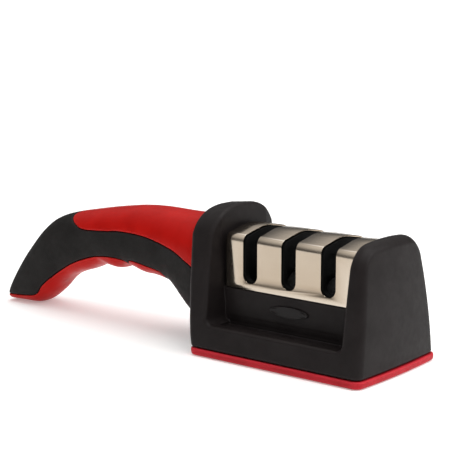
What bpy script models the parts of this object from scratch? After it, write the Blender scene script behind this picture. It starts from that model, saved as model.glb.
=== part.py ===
"""Three-stage pull-through knife sharpener with an arched handle, for Blender 4.5.

Frame: metres, +Z up, origin at the middle of the underside of the whole object's box.
+X runs from the tail of the handle towards the far end of the body, and the knife is
drawn through the slots along Y. Lengths in this file are in millimetres, and each helper
scales them to metres as it builds its mesh.
"""
import math

import bmesh
import bpy
from mathutils import Matrix, Vector

MM = 0.001
GAP = 0.3                  # clearance between touching pieces
WELD = 0.02                # merge distance, under every modelled detail

# Overall
LENGTH = 210.0
BODY_LEFT = 21.0           # foot of the body towards the handle
BODY_RIGHT = 103.2         # corners of the far end at the foot
BODY_HALF_DEPTH = 27.8     # at the foot
BODY_CORNER = 3.0
BODY_END_BOW = 0.8
FOOT_Z = 3.3               # lower edge of the body shell
WALL = 2.3

# Posts and the space between them
ARCH_RADIUS = 23.3
ARCH_CENTRE_Z = 36.0
ARCH_HEIGHT = 24.0             # above its centre, at the gap between the posts
ARCH_SLOPE = 0.12              # rise of its top per mm away from the handle
ARCH_SQUARENESS = 2.5
MIDDLE_X = 62.0                # between the posts
POST_SHOULDER = (19.8, 51.9)
POST_SHOULDER_RADIUS = 8.0
POST_CROWN_Z = 53.3
LEDGE_Z = 13.0
LEDGE_CORNER = 3.0
LEFT_HOLLOW = ((23.4, 5.0), (22.6, 10.0), (21.4, 20.0), (19.6, 50.0))   # outer side of the left post's hollow
LEFT_WALL_X = 30.0
RIGHT_WALL_X = 94.3
WALL_SPLAY = 0.16          # the inner walls open outwards, per mm of depth
WALL_DRAFT = 0.055         # and lean back, per mm of height
SADDLE_HALF_DEPTH = 15.0
SADDLE_TOP_Z = 27.2
BAY_HALF_DEPTH = 12.7
TOP_Z = 66.0               # above everything, where cutters end

# Base
PAD_LEFT = 20.7
PAD_HALF_DEPTH = 28.4
PAD_CORNER = 3.4
PAD_END_BOW = 1.0
PAD_THICKNESS = 3.0
PLATE_THICKNESS = 2.5
SCREW_X = (31.0, 94.0)
SCREW_Y = (-18.5, 18.5)
SCREW_SHANK = 1.2
SCREW_HEAD = 2.6
SCREW_TIP_Z = 9.5
BOSS_RADIUS = 3.4

# Cartridge and steel cover
SLOT_X = (42.5, 61.5, 80.5)
SLOT_BOTTOM_Z = 30.1
SLOT_WIDTH = 7.0
INNER_SLOT_WIDTH = 5.8
COVER_LEFT = 30.5
COVER_RIGHT = 93.5
STEEL_THICKNESS = 0.6
STEEL_HALF_DEPTH = 15.2
STEEL_TOP_Z = 51.9
STEEL_CORNER = 4.0
STEEL_CROWN_DROP = 2.6     # how far the shoulders lie below the crown
CHAMBER_HALF_WIDTH = 8.0
CHAMBER_HALF_DEPTH = 11.8
CHAMBER_TOP_Z = 46.5
CRADLE_FLOOR_Z = 8.0
CRADLE_HALF_DEPTH = 12.3

# Abrasive stages
AXLE_Z = 25.6
AXLE_RADIUS = 1.5
HUB_RADIUS = 4.0
HUB_HALF_LENGTH = 7.2
DISC_RADIUS = 9.6
DISC_GROOVE_RADIUS = 5.6
DISC_RIM_HALF_GAP = 2.4
DISC_OUTER_FACE = 6.6
BLADE_TILT = math.radians(20)
BLADE_SIZE = (5.0, 1.8, 25.0)
BLADE_Z = 26.0
CLAMP_Z = 14.5
CLAMP_SHANK = 1.1

# Handle: side outlines as (x, z), and half-widths as (x, y)
HANDLE_TOP = ((-105.0, 3.0), (-104.0, 6.5), (-100.0, 14.0), (-94.0, 23.5), (-88.0, 31.0), (-82.5, 36.8),
              (-76.0, 41.6), (-68.0, 44.7), (-51.0, 48.4), (-39.0, 50.6), (-28.0, 52.2), (-17.0, 52.9),
              (0.0, 52.7), (26.0, 53.2))
HANDLE_UNDERSIDE = ((-105.0, 0.6), (-103.5, 0.0), (-92.0, 0.0), (-87.0, 1.0), (-80.0, 6.0), (-74.5, 11.5),
                    (-68.5, 15.7), (-62.0, 18.4), (-55.5, 20.6), (-50.0, 23.2), (-46.0, 24.9), (-41.0, 24.0),
                    (-36.5, 23.8), (-31.0, 26.0), (-27.0, 25.4), (-21.0, 23.8), (-15.0, 23.6), (-9.0, 22.8),
                    (-4.0, 21.4), (0.0, 18.2), (5.0, 13.4), (9.0, 10.2), (14.0, 8.2), (26.0, 7.0))
HANDLE_HALF_WIDTH = ((-105.0, 6.5), (-104.2, 8.5), (-102.0, 9.8), (-97.0, 10.8), (-80.0, 12.0), (-60.0, 13.0),
                     (-40.0, 13.6), (-20.0, 14.2), (-5.0, 15.2), (5.0, 17.0), (13.0, 19.0), (26.0, 21.0))
HANDLE_SQUARENESS = 2.5
INSERT_EDGE = ((-62.6, 60.0), (-63.2, 47.0), (-62.0, 43.9), (-57.5, 41.6), (-52.9, 40.5), (-46.4, 40.8),
               (-37.3, 41.6), (-32.4, 42.3), (-23.6, 42.5), (-14.8, 42.0), (-8.4, 41.0), (-2.1, 39.7),
               (2.1, 38.7), (6.3, 37.3), (10.0, 35.9), (14.1, 34.4), (28.0, 28.4), (28.0, 60.0))
LONG_RAIL_EDGE = ((-107.0, 2.8), (-99.7, 3.4), (-93.5, 3.8), (-86.6, 5.2), (-81.4, 10.2), (-76.4, 14.3),
                  (-71.4, 17.8), (-64.1, 22.0), (-59.3, 24.3), (-54.6, 26.2), (-47.6, 28.4), (-38.5, 29.8),
                  (-33.6, 29.6), (-30.6, 28.4), (-30.2, 26.0))
SHORT_RAIL_EDGE = ((-28.2, 26.0), (-27.4, 28.8), (-25.0, 29.8), (-20.0, 29.4), (-15.0, 28.5), (-9.5, 27.6),
                   (-7.6, 26.4), (-7.4, 23.0))
CORE_PATH = ((-88.0, 17.0), (-80.0, 26.0), (-70.0, 32.0), (-60.0, 34.0), (-45.0, 35.0), (-30.0, 36.0),
             (-15.0, 35.2), (0.0, 32.6), (26.0, 32.0))
CORE_HALF_HEIGHT = 3.2
CORE_HALF_WIDTH = 8.0
CORE_SCREW_Y = 5.0

BLACK = (0.022, 0.021, 0.021)
DARK_GREY = (0.06, 0.06, 0.062)
RED = (0.52, 0.012, 0.014)
STEEL = (0.62, 0.60, 0.57)
CARBIDE = (0.20, 0.20, 0.21)
DIAMOND = (0.30, 0.29, 0.26)
CERAMIC = (0.10, 0.10, 0.11)


# ---------------------------------------------------------------- scene set-up

def clear_scene():
    for obj in list(bpy.data.objects):
        bpy.data.objects.remove(obj, do_unlink=True)


def new_collection(name):
    collection = bpy.data.collections.new(name)
    bpy.context.scene.collection.children.link(collection)
    return collection


def new_material(name, colour, roughness, metallic=0.0):
    material = bpy.data.materials.new(name)
    material.use_nodes = True
    shader = material.node_tree.nodes["Principled BSDF"]
    shader.inputs["Base Color"].default_value = (*colour, 1.0)
    shader.inputs["Roughness"].default_value = roughness
    shader.inputs["Metallic"].default_value = metallic
    return material


clear_scene()
PARTS = new_collection("knife_sharpener")
CUTTERS = new_collection("cutters")


# ---------------------------------------------------------------- helpers

def link_mesh(name, mesh, collection):
    obj = bpy.data.objects.new(name, mesh)
    collection.objects.link(obj)
    if collection is CUTTERS:
        obj.hide_render = True
        obj.display_type = "WIRE"
    return obj


def finish_part(obj, material, smooth_angle=None):
    """Give a part its material, its collection and, for a round piece, smooth shading."""
    if obj.name not in PARTS.objects:
        PARTS.objects.link(obj)
        CUTTERS.objects.unlink(obj)
        obj.hide_render = False
        obj.display_type = "TEXTURED"
    obj.data.materials.clear()
    obj.data.materials.append(material)
    if smooth_angle:
        obj.data.shade_smooth()
        obj.data.set_sharp_from_angle(angle=smooth_angle)
    return obj


def add_boolean(target, tool, operation="DIFFERENCE"):
    modifier = target.modifiers.new(operation.lower(), "BOOLEAN")
    modifier.operation = operation
    modifier.solver = "EXACT"
    modifier.object = tool


def rounded_outline(corners, segments=6):
    """Closed or open polygon (x, y, radius) with each corner replaced by an arc."""
    points = []
    count = len(corners)
    for index, (x, y, radius) in enumerate(corners):
        here = Vector((x, y))
        if not radius:
            points.append(here)
            continue
        before = (Vector(corners[index - 1][:2]) - here).normalized()
        after = (Vector(corners[(index + 1) % count][:2]) - here).normalized()
        half_angle = before.angle(after) / 2
        bisector = (before + after).normalized()
        centre = here + bisector * (radius / math.sin(half_angle))
        start = (here + before * (radius / math.tan(half_angle))) - centre
        end = (here + after * (radius / math.tan(half_angle))) - centre
        turn = start.angle_signed(end)
        for step in range(segments + 1):
            spoke = start.copy()
            spoke.rotate(Matrix.Rotation(-turn * step / segments, 2))
            points.append(centre + spoke)
    return [(point.x, point.y) for point in points]


def rectangle(x_low, x_high, y_low, y_high, radius=0.0, segments=6):
    corners = ((x_low, y_low, radius), (x_high, y_low, radius), (x_high, y_high, radius), (x_low, y_high, radius))
    return rounded_outline(corners, segments)


def circle(x, y, radius, steps=20):
    angles = (2 * math.pi * step / steps for step in range(steps))
    return [(x + radius * math.cos(a), y + radius * math.sin(a)) for a in angles]


def smooth_value(points, x):
    """Catmull-Rom value at x through (x, value) points."""
    last = len(points) - 2
    span = next((i for i in range(last + 1) if x <= points[i + 1][0]), last)
    (x0, v0), (x1, v1) = points[span], points[span + 1]
    t = min(max((x - x0) / (x1 - x0), 0.0), 1.0)
    before = points[max(span - 1, 0)]
    after = points[min(span + 2, len(points) - 1)]
    slope0 = (v1 - before[1]) / (x1 - before[0]) * (x1 - x0)
    slope1 = (after[1] - v0) / (after[0] - x0) * (x1 - x0)
    return (v0 * (1 + 2 * t) * (1 - t) ** 2 + slope0 * t * (1 - t) ** 2
            + v1 * t * t * (3 - 2 * t) - slope1 * t * t * (1 - t))


def smooth_polyline(points, pieces=3):
    """Open polyline through the points along a Catmull-Rom curve."""
    result = []
    ends = [points[0], *points, points[-1]]
    for p0, p1, p2, p3 in zip(ends, ends[1:], ends[2:], ends[3:]):
        p0, p1, p2, p3 = (Vector(p) for p in (p0, p1, p2, p3))
        for step in range(pieces):
            t = step / pieces
            point = 0.5 * (2 * p1 + (p2 - p0) * t + (2 * p0 - 5 * p1 + 4 * p2 - p3) * t * t
                           + (3 * p1 - p0 - 3 * p2 + p3) * t ** 3)
            result.append(tuple(point))
    return [*result, tuple(points[-1])]


PLANES = {
    "XY": Matrix.Identity(3),
    "XZ": Matrix(((1, 0, 0), (0, 0, -1), (0, 1, 0))),
    "YZ": Matrix(((0, 0, 1), (1, 0, 0), (0, 1, 0))),
}


def prism(name, outlines, plane, low, high, collection=None):
    """Solid of one or more flat outlines, drawn in a plane and running from low to high across it."""
    curve = bpy.data.curves.new(name, "CURVE")
    curve.dimensions = "2D"
    curve.fill_mode = "BOTH"
    curve.extrude = (high - low) / 2 * MM
    for outline in outlines:
        spline = curve.splines.new("POLY")
        spline.points.add(len(outline) - 1)
        for point, (x, y) in zip(spline.points, outline):
            point.co = (x * MM, y * MM, 0.0, 1.0)
        spline.use_cyclic_u = True
    guide = bpy.data.objects.new(name + "_outline", curve)
    CUTTERS.objects.link(guide)
    turn = PLANES[plane]
    middle = turn @ Vector((0.0, 0.0, (low + high) / 2 * MM))
    guide.matrix_world = Matrix.Translation(middle) @ turn.to_4x4()
    evaluated = guide.evaluated_get(bpy.context.evaluated_depsgraph_get())
    mesh = bpy.data.meshes.new_from_object(evaluated)
    mesh.name = name
    weld_mesh(mesh)
    mesh.transform(guide.matrix_world)
    bpy.data.objects.remove(guide, do_unlink=True)
    return link_mesh(name, mesh, collection or CUTTERS)


def weld_mesh(mesh):
    work = bmesh.new()
    work.from_mesh(mesh)
    bmesh.ops.remove_doubles(work, verts=work.verts, dist=WELD * MM)
    bmesh.ops.recalc_face_normals(work, faces=work.faces)
    work.to_mesh(mesh)
    work.free()


def loft(name, sections, collection=None):
    """Solid through closed sections of (x, y, z) points, all with the same number of points."""
    work = bmesh.new()
    rings = [[work.verts.new(Vector(point) * MM) for point in section] for section in sections]
    count = len(sections[0])
    for lower, upper in zip(rings, rings[1:]):
        for index in range(count):
            after = (index + 1) % count
            work.faces.new((lower[index], lower[after], upper[after], upper[index]))
    work.faces.new(rings[0])
    work.faces.new(rings[-1])
    bmesh.ops.recalc_face_normals(work, faces=work.faces)
    mesh = bpy.data.meshes.new(name)
    work.to_mesh(mesh)
    work.free()
    return link_mesh(name, mesh, collection or CUTTERS)


def box(name, low, high, collection=None):
    mesh = bpy.data.meshes.new(name)
    work = bmesh.new()
    size = [(b - a) * MM for a, b in zip(low, high)]
    centre = [(a + b) / 2 * MM for a, b in zip(low, high)]
    placing = Matrix.Translation(centre) @ Matrix.Diagonal((*size, 1.0))
    bmesh.ops.create_cube(work, size=1.0, matrix=placing)
    work.to_mesh(mesh)
    work.free()
    return link_mesh(name, mesh, collection or CUTTERS)


AXIS_TURNS = {
    "+Z": Matrix.Identity(4),
    "+X": Matrix.Rotation(math.pi / 2, 4, "Y"),
    "-X": Matrix.Rotation(-math.pi / 2, 4, "Y"),
    "-Y": Matrix.Rotation(math.pi / 2, 4, "X"),
}


def turned(name, profile, centre, direction="+Z", steps=20, collection=None):
    """Turned solid: profile of (radius, height), top to bottom on its outer side, about a given axis."""
    mesh = bpy.data.meshes.new(name)
    points = [(radius * MM, 0.0, height * MM) for radius, height in profile]
    edges = [(index, index + 1) for index in range(len(points) - 1)]
    if profile[0][0] > 0:
        edges.append((len(points) - 1, 0))
    mesh.from_pydata(points, edges, [])
    obj = link_mesh(name, mesh, collection or CUTTERS)
    obj.matrix_world = Matrix.Translation(Vector(centre) * MM) @ AXIS_TURNS[direction]
    screw = obj.modifiers.new("turn", "SCREW")
    screw.steps = steps
    screw.render_steps = steps
    screw.use_merge_vertices = True
    screw.merge_threshold = WELD * MM
    return obj


# ---------------------------------------------------------------- body

def bowed_outline(left, right, half_depth, radius, bow):
    """Rectangle with rounded corners and a slight outward bow on its right-hand end."""
    sweep = (half_depth - radius) ** 2 / (2 * bow)
    return rounded_outline(((left, -half_depth, radius), (right, -half_depth, radius), (right + 2 * bow, 0.0, sweep),
                            (right, half_depth, radius), (left, half_depth, radius)))


def body_section(z, grow):
    """Level section of the body: its sides lean in, and its left face sweeps out to the handle."""
    rise = z - FOOT_Z
    half_depth = BODY_HALF_DEPTH - 0.115 * rise - 0.0008 * rise ** 2 + grow
    left = BODY_LEFT - 0.08 * rise - 1.2 * (1 - math.exp(-rise / 5)) - grow
    right = BODY_RIGHT - 0.0015 * rise ** 2 + grow
    outline = bowed_outline(left, right, half_depth, BODY_CORNER + grow, BODY_END_BOW)
    return [(x, y, z) for x, y in outline]


def arch_cutter_section(x, grow):
    """What is cut away over the left post: its round top rises from the handle's side to the gap's."""
    across, rise = ARCH_RADIUS + grow, ARCH_HEIGHT + ARCH_SLOPE * (x - LEFT_WALL_X) + grow
    section = [(x, -40.0, ARCH_CENTRE_Z), (x, -40.0, TOP_Z), (x, 40.0, TOP_Z), (x, 40.0, ARCH_CENTRE_Z)]
    steps = 36
    for step in range(steps + 1):
        angle = math.pi * step / steps
        c, s = math.cos(angle), math.sin(angle)
        section.append((x, math.copysign(abs(c) ** (2 / ARCH_SQUARENESS), c) * across,
                        ARCH_CENTRE_Z + abs(s) ** (2 / ARCH_SQUARENESS) * rise))
    return section


def body_blank(name, grow=0.0):
    """Outer form of the body, before the space between its posts is opened."""
    levels = [FOOT_Z, *range(8, 64, 6)]
    blank = loft(name, [body_section(z, grow) for z in levels])
    arches = [arch_cutter_section(x, grow) for x in (0.0, MIDDLE_X)]
    add_boolean(blank, loft(name + "_arch", arches))
    y, z = POST_SHOULDER
    crown = rounded_outline(((-40.0, POST_SHOULDER[1] - 12, 0), (-40.0, TOP_Z, 0), (40.0, TOP_Z, 0),
                             (40.0, z - 12, 0), (y + 2.2, z - 12, 0), (y, z, POST_SHOULDER_RADIUS),
                             (0.0, POST_CROWN_Z + 0.3, 60.0), (-y, z, POST_SHOULDER_RADIUS),
                             (-y - 2.2, z - 12, 0)))
    add_boolean(blank, prism(name + "_crown", [crown], "YZ", MIDDLE_X, 120.0))
    return blank


def post_gap():
    """The space between the posts, with rounded lower corners."""
    sections = []
    for angle in (0, 22.5, 45, 67.5, 90):
        a = math.radians(angle)
        inset = LEDGE_CORNER * (1 - math.sin(a))
        sections.append((LEDGE_Z + LEDGE_CORNER * (1 - math.cos(a)), inset))
    sections.append((TOP_Z, 0.0))
    rings = []
    for z, inset in sections:
        draft = WALL_DRAFT * (z - LEDGE_Z)
        left, right = LEFT_WALL_X - draft + inset, RIGHT_WALL_X - inset
        depth, mouth = SADDLE_HALF_DEPTH, 40.0
        splay = WALL_SPLAY * (mouth - depth)
        rings.append([(left - splay, -mouth, z), (right, -mouth, z), (right, -depth, z), (right, depth, z),
                      (right, mouth, z), (left - splay, mouth, z), (left, depth, z), (left, -depth, z)])
    return loft("post_gap", rings)


def boss_places():
    return [(x, y) for x in SCREW_X for y in SCREW_Y]


def make_body_shell(material):
    shell = body_blank("body_shell")
    add_boolean(shell, post_gap())
    add_boolean(shell, box("saddle", (26.0, -SADDLE_HALF_DEPTH, LEDGE_Z - 1.2),
                           (97.0, SADDLE_HALF_DEPTH, SADDLE_TOP_Z)), "UNION")
    foot = rectangle(BODY_LEFT + WALL, BODY_RIGHT - WALL, WALL - BODY_HALF_DEPTH,
                     BODY_HALF_DEPTH - WALL, BODY_CORNER - 1.5)
    bosses = [circle(x, y, BOSS_RADIUS) for x, y in boss_places()]
    add_boolean(shell, prism("foot_hollow", [foot], "XY", 0.0, FOOT_Z + PLATE_THICKNESS + GAP))
    sill = rectangle(BODY_LEFT + WALL, BODY_RIGHT - 1.0 - WALL, WALL - 25.6, 25.6 - WALL, 2.0)
    add_boolean(shell, prism("sill_hollow", [sill, *bosses], "XY", 5.0, LEDGE_Z - WALL))
    add_boolean(shell, box("bay", (30.9, -BAY_HALF_DEPTH, 5.0), (93.4, BAY_HALF_DEPTH, 40.0)))
    left_hollow = [*LEFT_HOLLOW, (26.0, LEFT_HOLLOW[-1][1]), (26.0, LEFT_HOLLOW[0][1])]
    add_boolean(shell, prism("left_post_hollow", [left_hollow], "XZ", -16.0, 16.0))
    add_boolean(shell, box("right_post_hollow", (96.5, -15.0, 5.0), (98.6, 15.0, 44.0)))
    for index, (x, y) in enumerate(boss_places()):
        bore = turned(f"boss_bore_{index}", ((0, SCREW_TIP_Z + GAP), (SCREW_SHANK + GAP, SCREW_TIP_Z + GAP),
                                             (SCREW_SHANK + GAP, 0), (0, 0)), (x, y, 0))
        add_boolean(shell, bore)
    for index, y in enumerate((-CORE_SCREW_Y, CORE_SCREW_Y)):
        bore = turned(f"post_bore_{index}", ((0, 6), (SCREW_SHANK + GAP, 6), (SCREW_SHANK + GAP, -6), (0, -6)),
                      (BODY_LEFT - 3.0, y, smooth_value(CORE_PATH, BODY_LEFT)), "+X")
        add_boolean(shell, bore)
    return finish_part(shell, material)


# ---------------------------------------------------------------- base

def make_base(pad_material, plate_material, steel_material):
    holes = [circle(x, y, SCREW_HEAD + 0.6) for x, y in boss_places()]
    outline = bowed_outline(PAD_LEFT, LENGTH / 2 - 1.2 * PAD_END_BOW, PAD_HALF_DEPTH, PAD_CORNER, PAD_END_BOW)
    pad = prism("base_pad", [outline, *holes], "XY", 0.0, PAD_THICKNESS, PARTS)
    finish_part(pad, pad_material)
    holes = [circle(x, y, SCREW_SHANK + GAP) for x, y in boss_places()]
    inset = WALL + GAP + 0.2
    outline = rectangle(BODY_LEFT + inset, BODY_RIGHT - inset, inset - BODY_HALF_DEPTH, BODY_HALF_DEPTH - inset, 1.6)
    plate = prism("base_plate", [outline, *holes], "XY", FOOT_Z, FOOT_Z + PLATE_THICKNESS, PARTS)
    finish_part(plate, plate_material)
    top = SCREW_TIP_Z
    head = PAD_THICKNESS
    profile = ((0, top), (SCREW_SHANK * 0.5, top), (SCREW_SHANK, top - 1.2), (SCREW_SHANK, head),
               (SCREW_HEAD, head), (SCREW_HEAD, head - 0.7), (SCREW_HEAD * 0.6, head - 1.6),
               (0, head - 1.7))
    for index, (x, y) in enumerate(boss_places()):
        screw = turned(f"base_screw_{index + 1}", profile, (x, y, 0), collection=PARTS, steps=16)
        finish_part(screw, steel_material, math.radians(35))


# ---------------------------------------------------------------- cartridge

def saddle_profile(half_depth, bottom, top, corner):
    """Half-round topped arch in the YZ plane, open at its foot, from front to back."""
    shoulder = top - STEEL_CROWN_DROP
    corners = ((-half_depth, bottom, 0), (-half_depth, shoulder, corner), (0.0, top + 0.35, 26.0),
               (half_depth, shoulder, corner), (half_depth, bottom, 0))
    return rounded_outline(corners)


def slot_cutter(name, x, width, bottom):
    radius = width / 2
    steps = 12
    angles = (math.pi + math.pi * step / steps for step in range(steps + 1))
    outline = [(x + radius * math.cos(a), bottom + radius + radius * math.sin(a)) for a in angles]
    outline += [(x + radius, TOP_Z), (x - radius, TOP_Z)]
    return prism(name, [outline], "XZ", -30.0, 30.0)


def make_steel_cover(material):
    profile = saddle_profile(STEEL_HALF_DEPTH, SADDLE_TOP_Z + GAP, STEEL_TOP_Z, STEEL_CORNER)
    work = bmesh.new()
    rows = [[work.verts.new(Vector((x, y, z)) * MM) for y, z in profile] for x in (COVER_LEFT, COVER_RIGHT)]
    for index in range(len(profile) - 1):
        work.faces.new((rows[0][index], rows[0][index + 1], rows[1][index + 1], rows[1][index]))
    mesh = bpy.data.meshes.new("steel_cover")
    work.to_mesh(mesh)
    work.free()
    cover = link_mesh("steel_cover", mesh, PARTS)
    solidify = cover.modifiers.new("sheet", "SOLIDIFY")
    solidify.thickness = STEEL_THICKNESS * MM
    solidify.offset = 1.0
    for index, x in enumerate(SLOT_X):
        add_boolean(cover, slot_cutter(f"steel_slot_{index}", x, SLOT_WIDTH, SLOT_BOTTOM_Z))
    return finish_part(cover, material)


def make_cartridge(material):
    step_in = STEEL_THICKNESS + GAP
    outline = saddle_profile(STEEL_HALF_DEPTH - step_in, SADDLE_TOP_Z + GAP, STEEL_TOP_Z - step_in,
                             STEEL_CORNER - step_in)
    cover = prism("cartridge_cover", [outline], "YZ", COVER_LEFT + GAP, COVER_RIGHT - GAP, PARTS)
    for index, x in enumerate(SLOT_X):
        add_boolean(cover, box(f"chamber_{index}", (x - CHAMBER_HALF_WIDTH, -CHAMBER_HALF_DEPTH, 0.0),
                               (x + CHAMBER_HALF_WIDTH, CHAMBER_HALF_DEPTH, CHAMBER_TOP_Z)))
        add_boolean(cover, slot_cutter(f"inner_slot_{index}", x, INNER_SLOT_WIDTH, SLOT_BOTTOM_Z + 0.6))
    finish_part(cover, material)
    make_cradle(material)


def make_cradle(material):
    """Comb of a floor and four ribs, one each side of every stage, with a groove for the axles."""
    left, right = COVER_LEFT + 0.8, COVER_RIGHT - 0.8
    top, floor = SADDLE_TOP_Z, CRADLE_FLOOR_Z + 2.0
    outline = [(left, CRADLE_FLOOR_Z), (right, CRADLE_FLOOR_Z), (right, top)]
    for x in reversed(SLOT_X):
        outline += [(x + CHAMBER_HALF_WIDTH, top), (x + CHAMBER_HALF_WIDTH, floor),
                    (x - CHAMBER_HALF_WIDTH, floor), (x - CHAMBER_HALF_WIDTH, top)]
    outline.append((left, top))
    cradle = prism("cartridge_cradle", [outline], "XZ", -CRADLE_HALF_DEPTH, CRADLE_HALF_DEPTH, PARTS)
    seat = AXLE_RADIUS + GAP
    groove = [(seat, TOP_Z), (-seat, TOP_Z)]
    groove += [(seat * math.cos(a), AXLE_Z + seat * math.sin(a))
               for a in (math.pi + math.pi * step / 8 for step in range(9))]
    ends = (axle_span(1)[0] - GAP, axle_span(2)[1] + GAP)
    add_boolean(cradle, prism("axle_groove", [groove], "YZ", *ends))
    finish_part(cradle, material)


# ---------------------------------------------------------------- stages

def make_carbide_stage(holder_material, carbide_material, steel_material):
    x = SLOT_X[0]
    holder = box("carbide_holder", (x - 7.4, -8.0, CRADLE_FLOOR_Z + 2.0 + GAP), (x + 7.4, 8.0, 24.6), PARTS)
    slot_half = BLADE_SIZE[1] + 2 * GAP
    add_boolean(holder, box("blade_slot", (x - 12, -slot_half, CLAMP_Z - 1.5), (x + 12, slot_half, 40.0)))
    hole = ((0, 20), (CLAMP_SHANK + GAP, 20), (CLAMP_SHANK + GAP, -20), (0, -20))
    add_boolean(holder, turned("clamp_bore", hole, (x, 0, CLAMP_Z), "-Y"))
    finish_part(holder, holder_material)
    offset = (BLADE_SIZE[1] + GAP) / 2
    for name, side in (("carbide_blade_front", -1), ("carbide_blade_rear", 1)):
        half = [size / 2 for size in BLADE_SIZE]
        blade = box(name, [-h for h in half], half, PARTS)
        place = Vector((x, side * offset, BLADE_Z)) * MM
        blade.matrix_world = Matrix.Translation(place) @ Matrix.Rotation(side * BLADE_TILT, 4, "Y")
        finish_part(blade, carbide_material)
    head, tip = 8.0 + GAP, -7.5
    screw = ((0, head + 1.4), (1.3, head + 1.4), (2.1, head + 0.9), (2.1, head), (CLAMP_SHANK, head),
             (CLAMP_SHANK, tip + 0.8), (CLAMP_SHANK * 0.5, tip), (0, tip))
    screw = turned("carbide_clamp_screw", screw, (x, 0, CLAMP_Z), "-Y", 16, PARTS)
    finish_part(screw, steel_material, math.radians(35))


def axle_span(stage):
    """First and last x of a stage's axle, which ends inside the rib on each side."""
    x = SLOT_X[stage]
    reach = CHAMBER_HALF_WIDTH + 1.2
    return x - reach, x + reach


def make_wheel_stage(name, stage, abrasive, hub_material, steel_material):
    """Axle, sleeve and the two facing discs whose slopes make the groove for the knife's edge."""
    x = SLOT_X[stage]
    low, high = axle_span(stage)
    half = (high - low) / 2
    axle = ((0, half), (AXLE_RADIUS - 0.3, half), (AXLE_RADIUS, half - 0.3), (AXLE_RADIUS, 0.3 - half),
            (AXLE_RADIUS - 0.3, -half), (0, -half))
    finish_part(turned(f"{name}_axle", axle, (x, 0, AXLE_Z), "+X", 20, PARTS), steel_material, math.radians(35))
    bore, rim = AXLE_RADIUS + GAP, HUB_RADIUS
    hub = ((bore, HUB_HALF_LENGTH), (rim, HUB_HALF_LENGTH), (rim, -HUB_HALF_LENGTH), (bore, -HUB_HALF_LENGTH))
    finish_part(turned(f"{name}_hub", hub, (x, 0, AXLE_Z), "+X", 28, PARTS), hub_material, math.radians(35))
    face = HUB_RADIUS + GAP
    disc = ((face, DISC_OUTER_FACE), (DISC_RADIUS - 0.5, DISC_OUTER_FACE), (DISC_RADIUS, DISC_OUTER_FACE - 0.5),
            (DISC_RADIUS, DISC_RIM_HALF_GAP), (DISC_GROOVE_RADIUS, GAP / 2), (face, GAP / 2))
    for side, direction in (("right", "+X"), ("left", "-X")):
        piece = turned(f"{name}_disc_{side}", disc, (x, 0, AXLE_Z), direction, 40, PARTS)
        finish_part(piece, abrasive, math.radians(35))


# ---------------------------------------------------------------- handle

def oval_section(x, middle, half_height, half_width, steps=28):
    """Upright section with flattened sides: a superellipse."""
    power = 2 / HANDLE_SQUARENESS
    points = []
    for step in range(steps):
        angle = 2 * math.pi * step / steps
        c, s = math.cos(angle), math.sin(angle)
        points.append((x, math.copysign(abs(c) ** power, c) * half_width,
                       middle + math.copysign(abs(s) ** power, s) * half_height))
    return points


def handle_stations():
    tail = [-105.0, -104.6, -103.8, -102.4, -100.5, -98.0, -95.0, -92.0, -89.0, -86.0]
    return tail + [-83.0 + 2.6 * step for step in range(42)]


def handle_blank(name):
    sections = []
    for x in handle_stations():
        top, bottom = smooth_value(HANDLE_TOP, x), max(smooth_value(HANDLE_UNDERSIDE, x), 0.0)
        sections.append(oval_section(x, (top + bottom) / 2, (top - bottom) / 2, smooth_value(HANDLE_HALF_WIDTH, x)))
    blank = loft(name, sections)
    add_boolean(blank, body_blank(name + "_body_side", GAP))
    return blank


def core_blank(name, grow=0.0):
    sections = []
    start, end = CORE_PATH[0][0] - grow, 23.0
    count = 24
    for step in range(count + 1):
        x = start + (end - start) * step / count
        taper = min(1.0, 0.45 + (x - start) / 16)
        sections.append(oval_section(x, smooth_value(CORE_PATH, x), CORE_HALF_HEIGHT * taper + grow,
                                     CORE_HALF_WIDTH * taper + grow, 16))
    return loft(name, sections)


def region(name, edge, close):
    """Solid across the whole width, inside a smooth edge in the XZ plane closed by further points."""
    return prism(name, [smooth_polyline(edge) + list(close)], "XZ", -40.0, 40.0)


def widened(edge, amount):
    """Edge moved up or down, and out at its ends, to leave a joint line beside it."""
    result = []
    for index, (x, z) in enumerate(edge):
        before = Vector(edge[max(index - 1, 0)])
        after = Vector(edge[min(index + 1, len(edge) - 1)])
        along = (after - before).normalized()
        result.append((x - along.y * amount, z + along.x * amount))
    return result


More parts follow.
